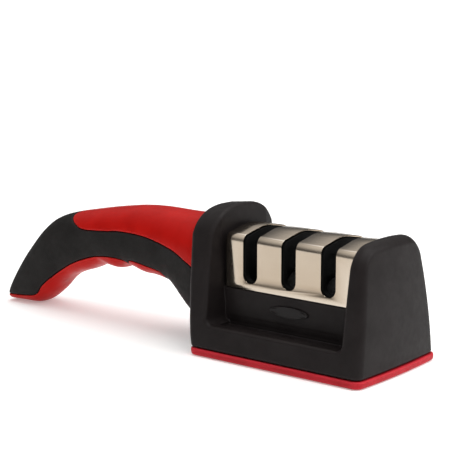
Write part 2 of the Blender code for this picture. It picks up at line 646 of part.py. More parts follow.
def make_handle(grip_material, red_material, core_material, steel_material):
    rail_close = {"finger_rail_long": ((-30.2, -5.0), (-107.0, -5.0)),
                  "finger_rail_short": ((-7.4, -5.0), (-28.2, -5.0))}
    edges = {"handle_top_insert": (INSERT_EDGE, ()),
             "finger_rail_long": (LONG_RAIL_EDGE, rail_close["finger_rail_long"]),
             "finger_rail_short": (SHORT_RAIL_EDGE, rail_close["finger_rail_short"])}
    grip = handle_blank("handle_grip")
    pocket = core_blank("core_pocket", GAP)
    for name, (edge, close) in edges.items():
        inlay = handle_blank(name)
        add_boolean(inlay, region(name + "_region", edge, close), "INTERSECT")
        if name == "handle_top_insert":
            add_boolean(inlay, pocket)
        finish_part(inlay, red_material)
        amount = -GAP if name == "handle_top_insert" else GAP
        add_boolean(grip, region(name + "_pocket", widened(edge, amount), close))
    add_boolean(grip, pocket)
    finish_part(grip, grip_material)
    core = core_blank("handle_core")
    add_boolean(core, body_blank("core_body_side", GAP))
    height = smooth_value(CORE_PATH, BODY_LEFT)
    head_x, tip_x = 20.9 + GAP, 10.0
    profile = ((0, 1.7), (1.6, 1.7), (2.4, 1.2), (2.4, 0.0), (SCREW_SHANK, 0.0),
               (SCREW_SHANK, tip_x - head_x + 1.0), (SCREW_SHANK * 0.5, tip_x - head_x), (0, tip_x - head_x))
    for side, y in (("front", -CORE_SCREW_Y), ("rear", CORE_SCREW_Y)):
        depth = tip_x - GAP - head_x
        hole = ((0, 6), (SCREW_SHANK + GAP, 6), (SCREW_SHANK + GAP, depth), (0, depth))
        add_boolean(core, turned(f"core_bore_{side}", hole, (head_x, y, height), "+X"))
        screw = turned(f"handle_screw_{side}", profile, (head_x, y, height), "+X", 16, PARTS)
        finish_part(screw, steel_material, math.radians(35))
    finish_part(core, core_material)


# ---------------------------------------------------------------- badge and assembly

def make_badge(material):
    """Blank oval plate on the front of the saddle block."""
    x, z, half_width, half_height = 62.0, 21.2, 9.3, 2.3
    steps = 36
    angles = (2 * math.pi * step / steps for step in range(steps))
    outline = [(x + half_width * math.cos(a), z + half_height * math.sin(a)) for a in angles]
    front = -SADDLE_HALF_DEPTH - GAP
    badge = prism("front_badge", [outline], "XZ", -front, -front + 0.5, PARTS)
    return finish_part(badge, material)


def main():
    body_black = new_material("body_black", BLACK, 0.42)
    grip_black = new_material("grip_black", BLACK, 0.62)
    handle_red = new_material("handle_red", RED, 0.35)
    pad_red = new_material("pad_red", RED, 0.55)
    inner_black = new_material("inner_black", DARK_GREY, 0.5)
    cover_steel = new_material("cover_steel", STEEL, 0.28, 1.0)
    pin_steel = new_material("pin_steel", STEEL, 0.3, 1.0)
    carbide = new_material("carbide", CARBIDE, 0.35, 1.0)
    diamond = new_material("diamond_grit", DIAMOND, 0.7, 0.4)
    ceramic = new_material("ceramic", CERAMIC, 0.6)
    badge_black = new_material("badge_black", DARK_GREY, 0.3)

    make_body_shell(body_black)
    make_base(pad_red, inner_black, pin_steel)
    make_steel_cover(cover_steel)
    make_cartridge(inner_black)
    make_carbide_stage(inner_black, carbide, pin_steel)
    make_wheel_stage("medium", 1, diamond, inner_black, pin_steel)
    make_wheel_stage("fine", 2, ceramic, inner_black, pin_steel)
    make_handle(grip_black, handle_red, inner_black, pin_steel)
    make_badge(badge_black)


main()
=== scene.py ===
import math

import bmesh
import bpy
import numpy as np
from mathutils import Matrix, Vector


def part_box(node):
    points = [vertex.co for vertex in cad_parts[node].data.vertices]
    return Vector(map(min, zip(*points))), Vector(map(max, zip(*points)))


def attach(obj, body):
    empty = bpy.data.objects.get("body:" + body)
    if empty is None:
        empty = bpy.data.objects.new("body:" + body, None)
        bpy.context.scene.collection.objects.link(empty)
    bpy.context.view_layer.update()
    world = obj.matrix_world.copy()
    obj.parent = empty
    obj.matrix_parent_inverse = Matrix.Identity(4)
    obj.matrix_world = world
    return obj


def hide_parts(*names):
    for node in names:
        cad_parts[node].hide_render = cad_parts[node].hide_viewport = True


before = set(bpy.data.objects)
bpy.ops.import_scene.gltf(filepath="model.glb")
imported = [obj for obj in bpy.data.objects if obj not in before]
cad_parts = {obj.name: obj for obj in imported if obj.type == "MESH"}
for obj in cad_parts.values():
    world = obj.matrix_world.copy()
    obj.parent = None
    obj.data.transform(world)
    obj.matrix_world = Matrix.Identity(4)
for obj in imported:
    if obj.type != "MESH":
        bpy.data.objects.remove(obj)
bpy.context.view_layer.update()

# Looks of the three-stage knife sharpener. The forms below are in millimetres and are scaled by MM.
# Moulded pieces are drawn as distance fields with true fillets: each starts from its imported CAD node,
# is remeshed to a fine even mesh, and has its vertices drawn onto the field's surface.
MM = 0.001
GAP = 0.3                      # joint line between touching pieces
BODY = "sharpener_body"

# Body shell, as the CAD body
FOOT_Z = 3.3
HALF_DEPTH = 27.8
LEFT_FOOT = 21.0
RIGHT_FOOT = 103.2
SIDE_LEAN = (0.115, 0.0008)    # by which the sides lean in, per mm and per square mm of height
LEFT_LEAN = 0.08               # by which the left face leans towards the handle, per mm of height
LEFT_SWEEP = (1.2, 5.0)        # and sweeps out from its foot: how far, and over what height
RIGHT_LEAN = 0.0015            # by which the right face leans in, per square mm of height
END_BOW = 0.96                 # of the right face, at its middle
ARCH_RADIUS = 23.3
ARCH_CENTRE_Z = 36.0
ARCH_HEIGHT = 24.0             # above its centre, at the gap between the posts
ARCH_SLOPE = 0.12              # rise of its top per mm away from the handle
CROWN_Z = 53.4
CROWN_FALL = 0.004             # drop of the right post's top, per square mm of depth
CROWN_SHOULDER = 8.0
MIDDLE_X = 62.0                # between the posts
LEFT_EDGE_RADIUS = 2.4
RIGHT_EDGE_RADIUS = 3.4
FOOT_EDGE_RADIUS = 0.9
WALL = 2.3
LEDGE_Z = 13.0
LEDGE_FILLET = 3.0
GAP_WALLS = (30.0, 94.3)
WALL_SPLAY = 0.16              # the left inner wall opens outwards, per mm of depth
WALL_DRAFT = 0.055             # and leans back, per mm of height
GAP_EDGE_RADIUS = 1.3
SADDLE_HALF_DEPTH = 15.0
SADDLE_TOP_Z = 27.2
SADDLE_X = (26.0, 97.0)
TROUGH_X = (32.0, 91.0)        # trough in the ledge, at the foot of the saddle block
TROUGH_OUTER_Y = 21.5
TROUGH_DEPTH = 1.1
SILL_HALF_DEPTH = 25.6
HOLLOW_LOW_Z = 5.0             # inside the foot's hollow, so that all of them join
PLATE_POCKET = 2.8             # the base plate's thickness and its joint
BAY = ((30.9, -12.7, HOLLOW_LOW_Z), (93.4, 12.7, 40.0))
LEFT_HOLLOW = ((15.0, -16.0, HOLLOW_LOW_Z), (26.0, 16.0, 50.0))
LEFT_HOLLOW_WALL = ((5.0, 10.0, 20.0, 50.0), (23.4, 22.6, 21.4, 19.6))   # heights, and its outer side there
RIGHT_HOLLOW = ((96.5, -15.0, HOLLOW_LOW_Z), (98.6, 15.0, 44.0))
HOLLOW_EDGE_RADIUS = 0.25
SCREW_PLACES = [(x, y) for x in (31.0, 94.0) for y in (-18.5, 18.5)]
BOSS_RADIUS = 3.4
BORE_RADIUS = 1.5
BORE_TOP_Z = 9.8
CORE_BORE_Y = 5.0
CORE_BORE_Z = 32.3
CORE_BORE_X = (12.0, 24.0)

# Base pad: the ribs of its tread lie across it
PAD_TOP_Z = 3.0
PAD_HALF_DEPTH = 28.4
PAD_X = (20.7, 103.8)
PAD_BOW = 1.2
PAD_CORNER = 3.4
PAD_HOLE_RADIUS = 3.2
TREAD_DEPTH = 0.45
TREAD_PITCH = 4.2
TREAD_MARGIN = 5.0
TREAD_CLEARANCE = 6.0          # from the middle of a screw hole

# Base screws
HEAD_LOW_Z = 1.3
HEAD_RADIUS = 2.6
HEAD_ROUND = 0.9
SHANK_RADIUS = 1.2
SHANK_TIP_Z = 9.5

# Steel cover
SLOT_X = (42.5, 61.5, 80.5)
SLOT_WIDTH = 7.0
SLOT_BOTTOM_Z = 30.1
STEEL_THICKNESS = 0.6
STEEL_HALF_DEPTH = 15.2
STEEL_TOP_Z = 51.9
STEEL_CORNER = 3.4
STEEL_CROWN_DROP = 2.6
STEEL_CROWN_RADIUS = 26.0
STEEL_CROWN_RISE = 0.35        # of the crown's corner above the finished top
BROKEN_EDGE = 0.13
CUTTER_TOP_Z = 66.0
CUTTER_HALF_DEPTH = 30.0

# Wheels
AXLE_Z = 25.6
DISC_RADIUS = 9.6
DISC_BORE = 4.3
DISC_OUTER = 6.6               # outer face, from the middle of its stage
DISC_RIM = 2.4                 # start of the sloped face, from the middle of its stage
DISC_GROOVE = 5.6
DISC_STEPS = 96

# Handle outline as (x, z) and (x, half-width), then its seams as (x, z) along the side
HANDLE_TOP = ((-105.0, 3.0), (-104.0, 6.5), (-100.0, 14.0), (-94.0, 23.5), (-88.0, 31.0), (-82.5, 36.8),
              (-76.0, 41.6), (-68.0, 44.7), (-51.0, 48.4), (-39.0, 50.6), (-28.0, 52.2), (-17.0, 52.9),
              (0.0, 52.7), (26.0, 53.2))
HANDLE_UNDERSIDE = ((-105.0, 0.6), (-103.5, 0.0), (-92.0, 0.0), (-87.0, 1.0), (-80.0, 6.0), (-74.5, 11.5),
                    (-68.5, 15.7), (-62.0, 18.4), (-55.5, 20.6), (-50.0, 23.2), (-46.0, 24.9), (-41.0, 24.0),
                    (-36.5, 23.8), (-31.0, 26.0), (-27.0, 25.4), (-21.0, 23.8), (-15.0, 23.6), (-9.0, 22.8),
                    (-4.0, 21.4), (0.0, 18.2), (5.0, 13.4), (9.0, 10.2), (14.0, 8.2), (26.0, 7.0))
HANDLE_HALF_WIDTH = ((-105.0, 6.5), (-104.2, 8.5), (-102.0, 9.8), (-97.0, 10.8), (-80.0, 12.0), (-60.0, 13.0),
                     (-40.0, 13.6), (-20.0, 14.2), (-5.0, 15.2), (5.0, 17.0), (13.0, 19.0), (26.0, 21.0))
SQUARENESS = 2.5
CORE_PATH = ((-88.0, 17.0), (-80.0, 26.0), (-70.0, 32.0), (-60.0, 34.0), (-45.0, 35.0), (-30.0, 36.0),
             (-15.0, 35.2), (0.0, 32.6), (26.0, 32.0))
CORE_HALF_HEIGHT = 3.2
CORE_HALF_WIDTH = 8.0
INSERT_EDGE = ((-62.6, 62.0), (-63.2, 47.0), (-62.0, 43.9), (-57.5, 41.6), (-52.9, 40.5), (-46.4, 40.8),
               (-37.3, 41.6), (-32.4, 42.3), (-23.6, 42.5), (-14.8, 42.0), (-8.4, 41.0), (-2.1, 39.7),
               (2.1, 38.7), (6.3, 37.3), (10.0, 35.9), (14.1, 34.4), (28.0, 28.4), (28.0, 62.0))
LONG_RAIL_EDGE = ((-108.0, 2.8), (-99.7, 3.4), (-93.5, 3.8), (-86.6, 5.2), (-81.4, 10.2), (-76.4, 14.3),
                  (-71.4, 17.8), (-64.1, 22.0), (-59.3, 24.3), (-54.6, 26.2), (-47.6, 28.4), (-38.5, 29.8),
                  (-33.6, 29.6), (-30.6, 28.4), (-30.2, 26.0))
LONG_RAIL_CLOSE = ((-30.2, -6.0), (-108.0, -6.0))
SHORT_RAIL_EDGE = ((-28.2, 26.0), (-27.4, 28.8), (-25.0, 29.8), (-20.0, 29.4), (-15.0, 28.5), (-9.5, 27.6),
                   (-7.6, 26.4), (-7.4, 23.0))
SHORT_RAIL_CLOSE = ((-7.4, -6.0), (-28.2, -6.0))
SEAM_RADIUS = 0.45
POCKET_RADIUS = 0.2
TAIL_RADIUS = 0.8
REGION_X = (-112.0, 32.0)
REGION_Z = (-8.0, 66.0)
PITCH = 0.25                   # between the samples of a profile or a region

# Drawing of points onto a field
WELD = 0.02
LEAST_SLOPE = 0.3
LONGEST_STEP = 0.8

# Camera, as fitted to the picture: degrees, and metres
AZIMUTH = 38.32
ELEVATION = 11.07
LENS = 120.77
AIM = (0.01847, 0.0, 0.04841)
DISTANCE = 0.6339

# Studio
SUN_STRENGTH = 1.2
SUN_ANGLE = 50
SUN_TILT = (-6, 14)
TENT = ((0.0, 0.07), (0.35, 0.20), (1.0, 1.30))     # height in the sky, and brightness
TENT_TINT = (1.0, 0.99, 0.975)
FLOOR_GLOW = 0.26


# ---------------------------------------------------------------- meshes and pieces

def take_work(name, work):
    """Object of a finished bmesh, put in the scene."""
    mesh = bpy.data.meshes.new(name)
    work.to_mesh(mesh)
    work.free()
    piece = bpy.data.objects.new(name, mesh)
    bpy.context.scene.collection.objects.link(piece)
    return piece


def take_modified(piece):
    """Puts the piece's modifiers into its mesh."""
    evaluated = piece.evaluated_get(bpy.context.evaluated_depsgraph_get())
    mesh = bpy.data.meshes.new_from_object(evaluated)
    piece.modifiers.clear()
    piece.data = mesh
    return mesh


def dress(piece, slot, body=BODY):
    piece.data.materials.clear()
    piece.data.materials.append(MATERIALS[slot])
    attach(piece, body)


def ring_faces(work, first, second):
    """Faces between two rings of points; either ring may be a single point."""
    steps = max(len(first), len(second))
    for step in range(steps):
        after = (step + 1) % steps
        corners = [first[step % len(first)], first[after % len(first)],
                   second[after % len(second)], second[step % len(second)]]
        work.faces.new(list(dict.fromkeys(corners)))


# ---------------------------------------------------------------- camera, light and floor

def set_camera():
    azimuth, elevation = math.radians(AZIMUTH), math.radians(ELEVATION)
    back = Vector((math.sin(azimuth) * math.cos(elevation), -math.cos(azimuth) * math.cos(elevation),
                   math.sin(elevation)))
    camera = bpy.data.cameras.new("camera")
    camera.sensor_width = 36.0
    camera.lens = LENS
    camera.clip_start = 0.02
    camera.clip_end = 20.0
    holder = bpy.data.objects.new("camera", camera)
    holder.location = Vector(AIM) + back * DISTANCE
    holder.rotation_mode = "QUATERNION"
    holder.rotation_quaternion = back.to_track_quat("Z", "Y")
    bpy.context.scene.collection.objects.link(holder)
    bpy.context.scene.camera = holder


def add_softbox(name, place, target, size, power):
    light = bpy.data.lights.new(name, "AREA")
    light.shape = "RECTANGLE"
    light.size, light.size_y = size
    light.energy = power
    holder = bpy.data.objects.new(name, light)
    holder.location = place
    holder.rotation_euler = (Vector(place) - Vector(target)).to_track_quat("Z", "Y").to_euler()
    bpy.context.scene.collection.objects.link(holder)


def set_studio():
    bpy.context.scene.world = studio_world()
    bpy.context.scene.view_settings.view_transform = "Standard"
    sun = bpy.data.lights.new("sky_panel", "SUN")
    sun.angle = math.radians(SUN_ANGLE)
    sun.energy = SUN_STRENGTH
    holder = bpy.data.objects.new("sky_panel", sun)
    holder.rotation_euler = (math.radians(SUN_TILT[0]), math.radians(SUN_TILT[1]), 0.0)
    bpy.context.scene.collection.objects.link(holder)
    add_softbox("side_softbox", (0.62, 0.30, 0.42), (0.08, 0.0, 0.03), (0.6, 0.4), 2.1)


def studio_world():
    """White tent that is dim at the horizon and bright overhead."""
    world = bpy.data.worlds.new("studio")
    world.use_nodes = True
    nodes, links = world.node_tree.nodes, world.node_tree.links
    split = nodes.new("ShaderNodeSeparateXYZ")
    links.new(nodes.new("ShaderNodeTexCoord").outputs["Generated"], split.inputs["Vector"])
    ramp = nodes.new("ShaderNodeValToRGB")
    ramp.color_ramp.elements.new(0.5)
    for element, (height, level) in zip(ramp.color_ramp.elements, TENT):
        element.position = height
        element.color = (*(level * tint for tint in TENT_TINT), 1.0)
    links.new(split.outputs["Z"], ramp.inputs["Fac"])
    links.new(ramp.outputs["Color"], nodes["Background"].inputs["Color"])
    return world


def make_floor():
    work = bmesh.new()
    bmesh.ops.create_grid(work, x_segments=8, y_segments=8, size=8.0)
    floor = take_work("floor", work)
    floor.location.z = -0.0002
    floor.data.materials.append(floor_material())


# ---------------------------------------------------------------- materials

class Shading:
    """A Principled material and the few node patterns that the finishes share."""

    def __init__(self, name, **values):
        self.material = bpy.data.materials.new(name)
        self.material.use_nodes = True
        self.nodes = self.material.node_tree.nodes
        self.links = self.material.node_tree.links
        self.shader = self.nodes["Principled BSDF"]
        self.place = self.nodes.new("ShaderNodeTexCoord").outputs["Object"]
        for socket, value in values.items():
            self.shader.inputs[socket.replace("_", " ")].default_value = value

    def noise(self, scale, detail=2.0, stretch=(1.0, 1.0, 1.0)):
        mapping = self.nodes.new("ShaderNodeMapping")
        mapping.inputs["Scale"].default_value = stretch
        texture = self.nodes.new("ShaderNodeTexNoise")
        texture.inputs["Scale"].default_value = scale
        texture.inputs["Detail"].default_value = detail
        self.links.new(self.place, mapping.inputs["Vector"])
        self.links.new(mapping.outputs["Vector"], texture.inputs["Vector"])
        return texture.outputs["Fac"]

    def cells(self, scale):
        texture = self.nodes.new("ShaderNodeTexVoronoi")
        texture.inputs["Scale"].default_value = scale
        self.links.new(self.place, texture.inputs["Vector"])
        return texture.outputs["Distance"]

    def ramp(self, value, stops):
        """Colour between two stops of (position, colour)."""
        ramp = self.nodes.new("ShaderNodeValToRGB")
        for element, (position, colour) in zip(ramp.color_ramp.elements, stops):
            element.position = position
            element.color = (*colour, 1.0)
        self.links.new(value, ramp.inputs["Fac"])
        return ramp.outputs["Color"]

    def spread(self, value, low, high, start=0.3, end=0.7):
        """The part of a value from start to end, stretched over low to high."""
        mapped = self.nodes.new("ShaderNodeMapRange")
        mapped.inputs["From Min"].default_value = start
        mapped.inputs["From Max"].default_value = end
        mapped.inputs["To Min"].default_value = low
        mapped.inputs["To Max"].default_value = high
        self.links.new(value, mapped.inputs["Value"])
        return mapped.outputs["Result"]

    def edges(self, start=0.505, end=0.56):
        """0 on flats and 1 on outward edges, where handling wears a surface."""
        geometry = self.nodes.new("ShaderNodeNewGeometry")
        return self.spread(geometry.outputs["Pointiness"], 0.0, 1.0, start, end)

    def blend(self, factor, first, second):
        """Mix of two colours, each a socket or a tuple."""
        mix = self.nodes.new("ShaderNodeMix")
        mix.data_type = "RGBA"
        self.links.new(factor, mix.inputs["Factor"])
        for socket, value in ((mix.inputs["A"], first), (mix.inputs["B"], second)):
            if isinstance(value, tuple):
                socket.default_value = (*value, 1.0)
            else:
                self.links.new(value, socket)
        return mix.outputs["Result"]

    def colour(self, value):
        self.links.new(value, self.shader.inputs["Base Color"])

    def roughness(self, value):
        self.links.new(value, self.shader.inputs["Roughness"])

    def bump(self, layers):
        """Bump of (height, strength, depth in mm) layers, one on top of another."""
        normal = None
        for height, strength, depth in layers:
            bump = self.nodes.new("ShaderNodeBump")
            bump.inputs["Strength"].default_value = strength
            bump.inputs["Distance"].default_value = depth * MM
            self.links.new(height, bump.inputs["Height"])
            if normal:
                self.links.new(normal, bump.inputs["Normal"])
            normal = bump.outputs["Normal"]
        self.links.new(normal, self.shader.inputs["Normal"])


def floor_material():
    finish = Shading("floor_white", Roughness=0.12, Specular_IOR_Level=0.0, Emission_Strength=FLOOR_GLOW,
                     Emission_Color=(1.0, 1.0, 1.0, 1.0))
    low, high = (0.905, 0.902, 0.898), (0.92, 0.917, 0.915)
    finish.colour(finish.ramp(finish.noise(900.0), ((0.3, low), (0.7, high))))
    return finish.material


def moulded_material(name, dark, light, rough, grain, depth, specular, worn=None):
    """Moulded plastic or rubber: mottled colour, a fine grain and slightly worn edges."""
    finish = Shading(name, Specular_IOR_Level=specular)
    mottle = finish.ramp(finish.noise(90.0, 4.0), ((0.35, dark), (0.65, light)))
    if worn:
        mottle = finish.blend(finish.edges(), mottle, worn)
    finish.colour(mottle)
    finish.roughness(finish.spread(finish.noise(420.0, 3.0), rough - 0.05, rough + 0.06))
    finish.bump(((finish.cells(grain), 0.55, depth), (finish.noise(grain * 2.3, 2.0), 0.3, depth * 0.6)))
    return finish.material


def brushed_steel():
    """Cold-rolled cover: long fine scratches along X, a faint warm tint and brighter edges."""
    finish = Shading("cover_steel", Metallic=1.0, Anisotropic=0.7)
    along = (0.03, 1.0, 1.0)
    streaks = finish.noise(1500.0, 3.0, along)
    cloud = finish.noise(75.0, 2.0)
    tint = finish.ramp(streaks, ((0.3, (0.355, 0.278, 0.202)), (0.7, (0.42, 0.338, 0.252))))
    tint = finish.blend(finish.spread(cloud, 0.0, 0.45), tint, (0.46, 0.378, 0.292))
    finish.colour(finish.blend(finish.edges(0.52, 0.6), tint, (0.66, 0.60, 0.52)))
    finish.roughness(finish.spread(streaks, 0.15, 0.22))
    finish.bump(((streaks, 0.05, 0.01),))
    tangent = finish.nodes.new("ShaderNodeTangent")
    tangent.direction_type = "RADIAL"
    tangent.axis = "X"
    finish.links.new(tangent.outputs["Tangent"], finish.shader.inputs["Tangent"])
    return finish.material


def turned_steel(name, low, high, rough):
    """Small metal pieces: fine tool marks and a slightly uneven plating."""
    finish = Shading(name, Metallic=1.0)
    marks = finish.noise(1900.0, 3.0)
    finish.colour(finish.ramp(finish.noise(300.0, 2.0), ((0.3, low), (0.7, high))))
    finish.roughness(finish.spread(marks, rough - 0.07, rough + 0.08))
    finish.bump(((marks, 0.2, 0.02),))
    return finish.material


def grit_material(name, low, high, metallic, grain):
    """Abrasive face: close-packed grains, some of them catching the light."""
    finish = Shading(name, Metallic=metallic)
    grains = finish.cells(grain)
    finish.colour(finish.ramp(grains, ((0.1, high), (0.55, low))))
    finish.roughness(finish.spread(finish.noise(grain), 0.35, 0.85))
    finish.bump(((grains, 0.9, 0.12), (finish.noise(grain * 1.7, 2.0), 0.6, 0.06)))
    return finish.material


def make_materials():
    return {
        "body_plastic": moulded_material("body_plastic", (0.0105, 0.0080, 0.0080), (0.0150, 0.0120, 0.0120),
                                         0.42, 2400.0, 0.022, 0.11, worn=(0.024, 0.020, 0.020)),
        "grip_rubber": moulded_material("grip_rubber", (0.0095, 0.0085, 0.0080), (0.0150, 0.0135, 0.0130),
                                        0.58, 1300.0, 0.07, 0.10, worn=(0.020, 0.018, 0.018)),
        "handle_red": moulded_material("handle_red", (0.40, 0.0045, 0.0025), (0.47, 0.0065, 0.0040),
                                       0.36, 2600.0, 0.008, 0.09, worn=(0.52, 0.012, 0.010)),
        "pad_rubber": moulded_material("pad_rubber", (0.36, 0.006, 0.012), (0.46, 0.010, 0.020),
                                       0.50, 1700.0, 0.05, 0.16, worn=(0.56, 0.026, 0.04)),
        "inner_plastic": moulded_material("inner_plastic", (0.0030, 0.0030, 0.0030), (0.0050, 0.0050, 0.0050),
                                          0.6, 1500.0, 0.03, 0.08),
        "badge_plastic": moulded_material("badge_plastic", (0.0090, 0.0070, 0.0070), (0.0120, 0.0098, 0.0098),
                                          0.34, 3000.0, 0.006, 0.18),
        "cover_steel": brushed_steel(),
        "pin_steel": turned_steel("pin_steel", (0.42, 0.42, 0.42), (0.58, 0.58, 0.57), 0.3),
        "carbide": turned_steel("carbide", (0.05, 0.05, 0.053), (0.09, 0.09, 0.095), 0.36),
        # The diamond grit's dark grey is partly its own colour and partly painted shade of its deep slot.
        "diamond_grit": grit_material("diamond_grit", (0.012, 0.012, 0.011), (0.10, 0.097, 0.09),
                                      0.4, 2600.0),
        # The ceramic's near-black colour is painted shade of its deep slot, not the ceramic's own tone.
        "ceramic": grit_material("ceramic", (0.008, 0.008, 0.008), (0.022, 0.022, 0.024), 0.0, 3600.0),
    }


# ---------------------------------------------------------------- distance fields

def join(first, second, radius=0.0):
    """Union of two fields, with a fillet of the given radius."""
    inside = np.hypot(np.maximum(radius - first, 0.0), np.maximum(radius - second, 0.0))
    return np.maximum(np.minimum(first, second), radius) - inside


def meet(first, second, radius=0.0):
    """Intersection of two fields, with its edge rounded."""
    return -join(-first, -second, radius)


def cut(first, second, radius=0.0):
    """The first field less the second, with the edge rounded."""
    return meet(first, -second, radius)


def block(points, low, high, radius=0.0):
    """Box between two corners, with its edges rounded."""
    sides = [meet(a - points[:, axis], points[:, axis] - b) for axis, (a, b) in enumerate(zip(low, high))]
    return meet(meet(sides[0], sides[1], radius), sides[2], radius)


def rod(points, axis, centre, radius, low, high):
    """Cylinder along an axis, through a centre given on the other two axes."""
    others = [index for index in range(3) if index != axis]
    away = np.hypot(points[:, others[0]] - centre[0], points[:, others[1]] - centre[1]) - radius
    return meet(away, meet(low - points[:, axis], points[:, axis] - high))


def slope_of(field, points):
    """The field at each point, and the direction and rate in which it grows."""
    step = 0.01
    here = field(points)
    slope = np.empty_like(points)
    for axis in range(3):
        moved = points.copy()
        moved[:, axis] += step
        slope[:, axis] = (field(moved) - here) / step
    return here, slope


def settle(points, field, rounds):
    """Draws the points onto the field's surface, in steps of at most about LONGEST_STEP."""
    for _ in range(rounds):
        here, slope = slope_of(field, points)
        size = np.maximum((slope ** 2).sum(axis=1), LEAST_SLOPE)
        points -= slope * np.clip(here / size, -LONGEST_STEP, LONGEST_STEP)[:, None]
    return points


def even_out(points, edges):
    """Moves each point halfway to the mean of its neighbours."""
    total = np.zeros_like(points)
    count = np.zeros(len(points))
    for first, second in ((0, 1), (1, 0)):
        np.add.at(total, edges[:, first], points[edges[:, second]])
        np.add.at(count, edges[:, first], 1)
    return points + 0.5 * (total / np.maximum(count, 1)[:, None] - points)


def mesh_points(mesh):
    points = np.empty(len(mesh.vertices) * 3, np.float32)
    mesh.vertices.foreach_get("co", points)
    return points.reshape(-1, 3).astype(float) / MM


def move_points(mesh, points):
    mesh.vertices.foreach_set("co", (points * MM).astype(np.float32).ravel())


def mesh_edges(mesh):
    edges = np.empty(len(mesh.edges) * 2, np.int32)
    mesh.edges.foreach_get("vertices", edges)
    return edges.reshape(-1, 2)


def even_mesh(name, node, voxel):
    """Object with an even mesh around a CAD node."""
    work = bmesh.new()
    work.from_mesh(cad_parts[node].data)
    bmesh.ops.remove_doubles(work, verts=work.verts, dist=WELD * MM)
    piece = take_work(name, work)
    remesh = piece.modifiers.new("voxels", "REMESH")
    remesh.mode = "VOXEL"
    remesh.voxel_size = voxel * MM
    take_modified(piece)
    return piece


def thin_out(piece, share, field):
    """Leaves a share of the faces, most of them where the surface curves."""
    thin = piece.modifiers.new("thin", "DECIMATE")
    thin.ratio = share
    mesh = take_modified(piece)
    points = settle(mesh_points(mesh), field, 1)
    move_points(mesh, points)
    return points


def sculpt(name, node, field, voxel, slot, share=1.0):
    """Fine mesh of a field, started from the CAD node that it stands for."""
    piece = even_mesh(name, node, voxel)
    edges = mesh_edges(piece.data)
    points = settle(mesh_points(piece.data), field, 4)
    for _ in range(4):
        points = settle(even_out(points, edges), field, 2)
    points = settle(points, field, 3)
    move_points(piece.data, points)
    if share < 1.0:
        points = thin_out(piece, share, field)
    _, slope = slope_of(field, points)
    normals = slope / np.maximum(np.linalg.norm(slope, axis=1), 1e-6)[:, None]
    piece.data.shade_smooth()
    piece.data.normals_split_custom_set_from_vertices(normals.tolist())
    dress(piece, slot)
    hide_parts(node)


# ---------------------------------------------------------------- body shell

def half_depth(z):
    rise = z - FOOT_Z
    return HALF_DEPTH - SIDE_LEAN[0] * rise - SIDE_LEAN[1] * rise ** 2


def flat_oval(a, b, half_a, half_b):
    """Distance in a plane to an oval with flattened sides, from its middle outwards."""
    share = ((np.abs(a) / half_a) ** SQUARENESS + (np.abs(b) / half_b) ** SQUARENESS) ** (1 / SQUARENESS)
    return np.hypot(a, b) * (1 - 1 / np.maximum(share, 0.05))


def body_form(points):
    """Outer form of the body, filled: an arched post on the left and a square-shouldered one on the right."""
    x, y, z = points.T
    rise = np.maximum(z - FOOT_Z, -2.0)
    half = half_depth(z)
    side = np.abs(y) - half
    over = np.maximum(z - ARCH_CENTRE_Z, 0.0)
    tall = ARCH_HEIGHT + ARCH_SLOPE * (np.minimum(x, MIDDLE_X) - GAP_WALLS[0])
    arch = np.where(over > 0, flat_oval(y, over, ARCH_RADIUS, tall), side)
    crown = z - (CROWN_Z - CROWN_FALL * y ** 2)
    post = np.where(x < MIDDLE_X, np.maximum(side, arch), meet(side, crown, CROWN_SHOULDER))
    sweep, height = LEFT_SWEEP
    left = LEFT_FOOT - LEFT_LEAN * rise - sweep * (1 - np.exp(-rise / height))
    right = RIGHT_FOOT - RIGHT_LEAN * rise ** 2 + END_BOW * (1 - np.minimum(np.abs(y) / half, 1.0) ** 2)
    ends = np.maximum(left - x, x - right)
    return meet(post, ends, np.where(x < MIDDLE_X, LEFT_EDGE_RADIUS, RIGHT_EDGE_RADIUS))


def post_gap(points):
    """The space between the posts, above the ledge."""
    x, y, z = points.T
    splay = WALL_SPLAY * np.maximum(np.abs(y) - SADDLE_HALF_DEPTH, 0.0)
    left = GAP_WALLS[0] - WALL_DRAFT * (z - LEDGE_Z) - splay
    return meet(np.maximum(left - x, x - GAP_WALLS[1]), LEDGE_Z - z, LEDGE_FILLET)


def saddle(points):
    """The raised block between the posts."""
    x, y, z = points.T
    sides = meet(np.abs(y) - SADDLE_HALF_DEPTH, z - SADDLE_TOP_Z, 0.5)
    return meet(sides, np.maximum(SADDLE_X[0] - x, x - SADDLE_X[1]))


def troughs(points):
    """One shallow trough along each ledge."""
    x, y, z = points.T
    return block(np.column_stack((x, np.abs(y), z)),
                 (TROUGH_X[0], SADDLE_HALF_DEPTH + 0.1, LEDGE_Z - TROUGH_DEPTH),
                 (TROUGH_X[1], TROUGH_OUTER_Y, LEDGE_Z + 3.0), 0.6)


def bosses(points, radius, low, high):
    """Four upright rods, one on each base screw's axis."""
    return np.min([rod(points, 2, place, radius, low, high) for place in SCREW_PLACES], axis=0)


def shell_hollows(points):
    """Everything hollow inside the body: foot, sill, cartridge bay, posts and screw bores."""
    x, _, z = points.T
    foot = block(points, (LEFT_FOOT + WALL, WALL - HALF_DEPTH, 0.0),
                 (RIGHT_FOOT - WALL, HALF_DEPTH - WALL, FOOT_Z + PLATE_POCKET), 0.4)
    depth = SILL_HALF_DEPTH - WALL
    sill = block(points, (LEFT_FOOT + WALL, -depth, HOLLOW_LOW_Z),
                 (RIGHT_FOOT - 1.0 - WALL, depth, LEDGE_Z - WALL), 0.8)
    sill = cut(sill, bosses(points, BOSS_RADIUS, 0.0, 20.0), 0.5)
    left = np.maximum(block(points, *LEFT_HOLLOW), np.interp(z, *LEFT_HOLLOW_WALL) - x)
    return (foot, sill, block(points, *BAY, 0.4), left, block(points, *RIGHT_HOLLOW, 0.4),
            bosses(points, BORE_RADIUS, 0.0, BORE_TOP_Z))


